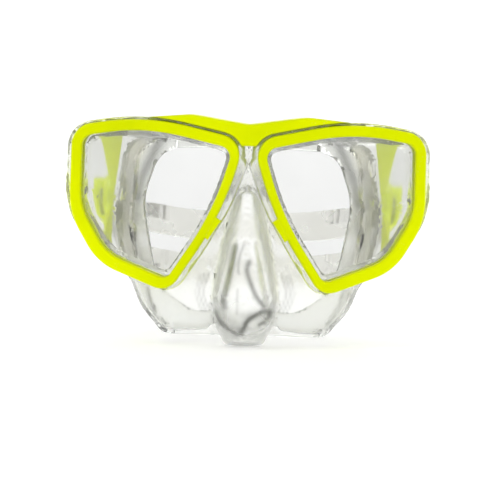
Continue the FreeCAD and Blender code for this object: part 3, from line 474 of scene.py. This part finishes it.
strapLook = {
    "colour": (0.975, 0.97, 0.94), "shade": (0.94, 0.935, 0.89), "patchScale": 45.0, "roughness": 0.28,
    "grainScale": 500.0, "grainDepth": 0.00015, "clearness": 0.72, "bend": 1.35,
    "soakColour": (0.72, 0.70, 0.60), "soak": 14.0,
}
glassLook = {"colour": (0.83, 0.835, 0.825), "smear": (0.81, 0.815, 0.805), "roughness": 0.02}
greyLook = {
    "colour": (0.36, 0.37, 0.36), "shade": (0.29, 0.30, 0.29), "edge": (0.5, 0.51, 0.5), "roughness": 0.38,
}
steelLook = {"colour": (0.62, 0.62, 0.61), "shade": (0.50, 0.50, 0.50), "edge": (0.82, 0.82, 0.81)}
finishes = {
    "ringPlastic": neonPlastic("ringPlastic", ringLook),
    "framePlastic": neonPlastic("framePlastic", frameLook),
    "skirtSilicone": clearSilicone("skirtSilicone", skirtLook),
    "strapSilicone": clearSilicone("strapSilicone", strapLook),
    "temperedGlass": temperedGlass(glassLook),
    "greyAcetal": solidPlastic("greyAcetal", greyLook),
    "stainlessSteel": stainlessSteel(steelLook),
}


def setFinish(piece, finish):
    piece.data.materials.clear()
    piece.data.materials.append(finishes[finish])


def finishNode(node, finish):
    setFinish(nodes[node], finish)


finishNode("main_frame", "framePlastic")
for side in sides:
    finishNode(f"{side}_lens_ring", "ringPlastic")
    finishNode(f"{side}_lens", "temperedGlass")
    finishNode(f"{side}_buckle_frame", "framePlastic")
    finishNode(f"{side}_release_lever", "framePlastic")
    finishNode(f"{side}_pivot_pin", "greyAcetal")
    finishNode(f"{side}_strap_roller", "greyAcetal")
    for steelPiece in ("roller_pin", "lever_pin", "lever_spring"):
        finishNode(f"{side}_{steelPiece}", "stainlessSteel")
print("finishes ready")


# soft pieces, worked up from merged copies of the plain solids

def selectOnly(piece):
    bpy.ops.object.select_all(action="DESELECT")
    piece.select_set(True)
    bpy.context.view_layer.objects.active = piece


mergeGap = 0.01 * mm


def mergedCopy(node, name):
    mesh = nodes[node].data.copy()
    mesh.name = name
    piece = bpy.data.objects.new(name, mesh)
    scene.collection.objects.link(piece)
    selectOnly(piece)
    bpy.ops.object.mode_set(mode="EDIT")
    bpy.ops.mesh.select_all(action="SELECT")
    bpy.ops.mesh.remove_doubles(threshold=mergeGap)
    bpy.ops.object.mode_set(mode="OBJECT")
    return piece


def softened(piece, voxel, rounds):    # an even skin of small faces with every edge rounded
    selectOnly(piece)
    piece.data.remesh_voxel_size = voxel * mm
    piece.data.remesh_voxel_adaptivity = 0.0
    bpy.ops.object.voxel_remesh()
    smoothAll(piece, rounds)
    bpy.ops.object.shade_smooth()


def smoothAll(piece, rounds):
    selectOnly(piece)
    bpy.ops.object.mode_set(mode="EDIT")
    bpy.ops.mesh.select_all(action="SELECT")
    bpy.ops.mesh.vertices_smooth(factor=0.5, repeat=rounds)
    bpy.ops.object.mode_set(mode="OBJECT")


def meshArrays(piece):
    count = len(piece.data.vertices)
    places = np.zeros(count * 3)
    normals = np.zeros(count * 3)
    piece.data.vertices.foreach_get("co", places)
    piece.data.vertices.foreach_get("normal", normals)
    return places.reshape(-1, 3) / mm, normals.reshape(-1, 3)


def storePlaces(piece, places):
    piece.data.vertices.foreach_set("co", (places * mm).ravel())
    piece.data.update()


def smoothPath(points, steps=8):    # a Catmull-Rom curve through the points
    ends = [points[0]] + list(points) + [points[-1]]
    path = []
    for before, first, second, after in zip(ends, ends[1:], ends[2:], ends[3:]):
        for step in range(steps):
            part = step / steps
            path.append(tuple(
                0.5 * (2 * b + (c - a) * part + (2 * a - 5 * b + 4 * c - d) * part ** 2
                       + (3 * b - a - 3 * c + d) * part ** 3)
                for a, b, c, d in zip(before, first, second, after)))
    path.append(tuple(points[-1]))
    return path


def distanceTo(path, places):    # shortest distance in the front view from each place to a path
    best = np.full(len(places), 1e9)
    flat = places[:, [0, 2]]
    for start, end in zip(path, path[1:]):
        a = np.array(start)
        run = np.array(end) - a
        share = np.clip(((flat - a) @ run) / max(run @ run, 1e-9), 0, 1)
        gap = flat - a - share[:, None] * run
        best = np.minimum(best, np.hypot(gap[:, 0], gap[:, 1]))
    return best


skirt = {
    "voxel": 1.02,
    "smoothing": 7,
    "lastSmoothing": 2,
    "frontLimit": -34.0,    # details lie in front of this
    "facing": 0.2,    # and on faces that turn back less than this
    # ridges and grooves of the left half: points across and up, half width, height
    "ridges": [
        ([(1.2, 17.0), (4.6, 8.0), (8.6, -3.0), (12.5, -14.0)], 0.9, 0.9),
        ([(0.0, 25.0), (2.6, 23.4), (3.8, 19.0), (3.0, 16.4), (0.0, 16.0)], 0.8, 0.8),
        ([(0.0, 5.0), (4.5, 4.2), (8.2, 1.6)], 0.7, 0.7),
        ([(5.2, 1.0), (8.4, -14.0), (11.4, -29.0), (13.6, -43.0)], 0.8, 0.6),
        ([(20.6, -31.0), (24.2, -41.0), (22.6, -50.0), (18.6, -57.0)], 0.75, 0.8),
        ([(17.6, -33.0), (21.0, -42.0), (19.8, -49.5), (16.6, -55.0)], 0.7, 0.7),
        ([(15.6, -37.0), (18.2, -44.0), (17.0, -50.0)], 0.6, 0.6),
        ([(13.2, -48.0), (11.6, -55.0), (7.6, -59.5), (3.6, -58.5), (0.0, -63.5)], 1.3, 1.3),
        ([(4.6, -21.0), (6.6, -30.0), (9.0, -41.0), (10.4, -47.0)], 1.4, 0.9),
        ([(0.0, -24.0), (0.0, -54.0)], 0.8, 0.45),
    ],
    # how far the lower corners are drawn in: level, half height, depth
    "cornerInsets": ((-41.0, 7.0, 2.4), (-61.0, 5.0, 1.6)),
    "cornerStart": 36.0,
    "cornerFull": 46.0,
    # colours of the painted shade and painted reflections in the folds
    "paintedGrey": (0.25, 0.25, 0.24),
    "paintedGreen": (0.74, 0.78, 0.42),
    "paintedBeige": (0.86, 0.83, 0.62),
    # painted shade and painted reflections along the folds: colour, half width, strength, in front or
    # behind, sides, points across and up
    "paintedShades": [
        ("paintedGrey", 1.3, 0.97, "front", (1,),
         [(-13.3, -52.4), (-11.3, -56.5), (-8.0, -58.9), (-5.4, -60.5), (-2.2, -62.2),
          (-0.3, -59.9), (1.9, -55.5), (5.5, -52.8), (9.1, -51.1), (11.5, -52.0)]),
        ("paintedGrey", 1.0, 0.90, "front", (1,), [(7.1, -57.4), (10.8, -54.8), (12.0, -51.5)]),
        ("paintedGrey", 1.4, 0.74, "front", (1,),
         [(-5.0, -22.0), (-6.1, -31.6), (-7.7, -39.0), (-9.3, -46.0), (-8.7, -50.0)]),
        ("paintedGrey", 1.1, 0.82, "front", (1,),
         [(1.6, -28.7), (0.8, -32.8), (2.9, -39.2), (5.2, -44.1), (8.6, -48.6)]),
        ("paintedGrey", 0.6, 0.50, "front", (1,), [(-0.8, -20.9), (-2.4, -25.6), (-3.1, -31.5), (-2.7, -34.0)]),
        ("paintedGrey", 0.6, 0.35, "front", (1,), [(-3.1, -41.5), (-3.2, -52.5)]),
        ("paintedGrey", 0.8, 0.40, "front", (1, -1), [(2.8, 12.0), (6.8, 2.2)]),
        ("paintedGrey", 0.6, 0.35, "front", (1, -1), [(0.0, 4.4), (3.6, 3.4), (7.0, 0.6)]),
        ("paintedGreen", 1.2, 0.34, "front", (1, -1),
         [(5.0, 0.4), (8.2, -8.7), (10.4, -18.2), (12.4, -28.7), (14.2, -38.1), (14.8, -47.0)]),
        ("paintedGrey", 0.6, 0.28, "front", (1, -1), [(17.8, -35.2), (19.9, -44.4), (16.8, -53.0)]),
        ("paintedGrey", 0.6, 0.28, "front", (1, -1), [(19.6, -35.2), (21.8, -44.4), (18.6, -53.4)]),
        ("paintedGrey", 0.6, 0.22, "front", (1, -1), [(21.4, -35.6), (23.6, -44.4), (20.6, -53.6)]),
        ("paintedGrey", 3.2, 0.68, "back", (1, -1), [(44.0, 33.0), (49.6, 22.0), (54.6, 12.0), (56.4, 3.0)]),
        ("paintedGrey", 1.8, 0.30, "back", (1, -1), [(56.4, 3.0), (57.4, -10.0), (55.6, -25.0), (49.0, -36.0)]),
        ("paintedBeige", 4.0, 0.60, "back", (1, -1),
         [(56.0, 30.0), (62.0, 16.0), (63.6, 0.0), (63.0, -16.0), (60.0, -28.0)]),
    ],
    "windowCentre": (0.0, -64.0, 20.2),
    "windowRadius": 2.4,
    "windowDepth": 14.0,
    "windowRound": 0.5,
}


def cutWindow(piece):    # the small triangular window under the brow bar
    x, y, z = (value * mm for value in skirt["windowCentre"])
    bpy.ops.object.select_all(action="DESELECT")
    bpy.ops.mesh.primitive_cylinder_add(vertices=3, radius=skirt["windowRadius"] * mm,
                                        depth=skirt["windowDepth"] * mm, location=(x, y, z),
                                        rotation=(math.radians(90), 0, 0))
    tool = bpy.context.object
    bpy.ops.object.mode_set(mode="EDIT")
    bpy.ops.mesh.select_all(action="SELECT")
    bpy.ops.mesh.bevel(offset=skirt["windowRound"] * mm, segments=3, affect="EDGES")
    bpy.ops.object.mode_set(mode="OBJECT")
    selectOnly(piece)
    hole = piece.modifiers.new("window", "BOOLEAN")
    hole.operation = "DIFFERENCE"
    hole.object = tool
    bpy.ops.object.modifier_apply(modifier=hole.name)
    bpy.data.objects.remove(tool)


def drawInCorners(places):    # the lower corners curve in below the lenses
    across = np.abs(places[:, 0])
    share = np.clip((across - skirt["cornerStart"]) / (skirt["cornerFull"] - skirt["cornerStart"]), 0, 1)
    for level, halfHeight, depth in skirt["cornerInsets"]:
        inset = depth * np.exp(-((places[:, 2] - level) / halfHeight) ** 2) * share
        places[:, 0] -= np.sign(places[:, 0]) * inset


def paintFoldShades(piece):    # paints shade and reflections onto the folds, as an attribute that the silicone reads
    places, normals = meshArrays(piece)
    front = places[:, 1] < skirt["frontLimit"]
    where = {"front": front, "back": ~front}
    paintedShade = np.ones((len(places), 4))
    for colour, halfWidth, strength, part, ways, points in skirt["paintedShades"]:
        for way in ways:
            gap = distanceTo(smoothPath([(way * across, up) for across, up in points]), places)
            share = strength * np.exp(-(gap / halfWidth) ** 2) * where[part]
            # painted shade: each path darkens or tints the colour near it
            paintedShade[:, :3] *= 1 - share[:, None] * (1 - np.array(skirt[colour]))
    stored = piece.data.attributes.new("paintedFoldShade", "FLOAT_COLOR", "POINT")
    stored.data.foreach_set("color", paintedShade.ravel())


def makeSkirt():
    piece = mergedCopy("skirt", "clear_skirt")
    softened(piece, skirt["voxel"], skirt["smoothing"])
    places, normals = meshArrays(piece)
    front = (places[:, 1] < skirt["frontLimit"]) & (normals[:, 1] < skirt["facing"])
    raised = np.zeros(len(places))
    for points, halfWidth, height in skirt["ridges"]:
        for way in (1, -1):
            path = smoothPath([(way * across, up) for across, up in points])
            gap = distanceTo(path, places)
            ridge = height * np.exp(-(gap / halfWidth) ** 2)
            raised = np.where(np.abs(ridge) > np.abs(raised), ridge, raised)
    places += normals * (raised * front)[:, None]
    drawInCorners(places)
    storePlaces(piece, places)
    smoothAll(piece, skirt["lastSmoothing"])
    cutWindow(piece)
    paintFoldShades(piece)
    setFinish(piece, "skirtSilicone")
    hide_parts("skirt")
    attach(piece, "mask")
    print("skirt", len(piece.data.polygons))


strap = {
    "voxel": 0.62,
    "smoothing": 4,
    "droop": 12.0,
    "pivot": (-14.0, 2.0),    # along Y and Z
    "narrow": 8.4,    # half widths before and after the taper
    "wide": 23.0,
    "taper": (40.0, 84.0),
    "slotHalf": 4.5,
    "slotStart": (64.0, 71.0),
    "ribs": (0.2, 0.4, 0.6, 0.8),    # places across each band
    "ribHalfWidth": 0.75,
    "ribHeight": 0.35,
    "ribStart": 12.0,    # the ribs start behind the rollers
    "loopMiddle": 30.0,    # a place along Y inside the loop, which its outer faces turn away from
}


def unbent(places):    # the strap's own frame, before it droops about the pivots
    angle = math.radians(strap["droop"])
    y = places[:, 1] - strap["pivot"][0]
    z = places[:, 2] - strap["pivot"][1]
    along = y * math.cos(angle) - z * math.sin(angle) + strap["pivot"][0]
    up = y * math.sin(angle) + z * math.cos(angle)
    return along, up


def makeStrap():
    piece = mergedCopy("strap", "strap_band")
    softened(piece, strap["voxel"], strap["smoothing"])
    places, normals = meshArrays(piece)
    along, up = unbent(places)
    start, end = strap["taper"]
    widening = np.clip((along - start) / (end - start), 0, 1)
    outer = strap["narrow"] + (strap["wide"] - strap["narrow"]) * widening
    slotStart, slotFull = strap["slotStart"]
    inner = strap["slotHalf"] * np.clip((along - slotStart) / (slotFull - slotStart), 0, 1)
    across = np.abs(up)
    raised = np.zeros(len(places))
    for share in strap["ribs"]:
        gap = across - (inner + (outer - inner) * share)
        raised = np.maximum(raised, strap["ribHeight"] * np.exp(-(gap / strap["ribHalfWidth"]) ** 2))
    outwards = normals[:, 0] * places[:, 0] + normals[:, 1] * (places[:, 1] - strap["loopMiddle"]) > 0
    behindRoller = along > strap["ribStart"]
    places += normals * (raised * outwards * behindRoller)[:, None]
    storePlaces(piece, places)
    setFinish(piece, "strapSilicone")
    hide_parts("strap")
    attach(piece, "strap_loop")
    print("strap", len(piece.data.polygons))


keeper = {"edgeRound": 0.55, "segments": 4, "flatAngle": 2.0, "smoothAngle": 40.0}


def makeKeeper(side):
    piece = mergedCopy(f"{side}_tail_keeper", f"{side}_keeper_loop")
    bpy.ops.object.mode_set(mode="EDIT")
    bpy.ops.mesh.select_all(action="SELECT")
    bpy.ops.mesh.dissolve_limited(angle_limit=math.radians(keeper["flatAngle"]))
    bpy.ops.object.mode_set(mode="OBJECT")
    rounding = piece.modifiers.new("rounding", "BEVEL")
    rounding.width = keeper["edgeRound"] * mm
    rounding.segments = keeper["segments"]
    rounding.limit_method = "ANGLE"
    bpy.ops.object.modifier_apply(modifier=rounding.name)
    bpy.ops.object.shade_smooth_by_angle(angle=math.radians(keeper["smoothAngle"]))
    setFinish(piece, "strapSilicone")
    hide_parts(f"{side}_tail_keeper")
    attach(piece, "strap_loop")
    print(side, "keeper", len(piece.data.polygons))


makeSkirt()
makeStrap()
for side in sides:
    makeKeeper(side)
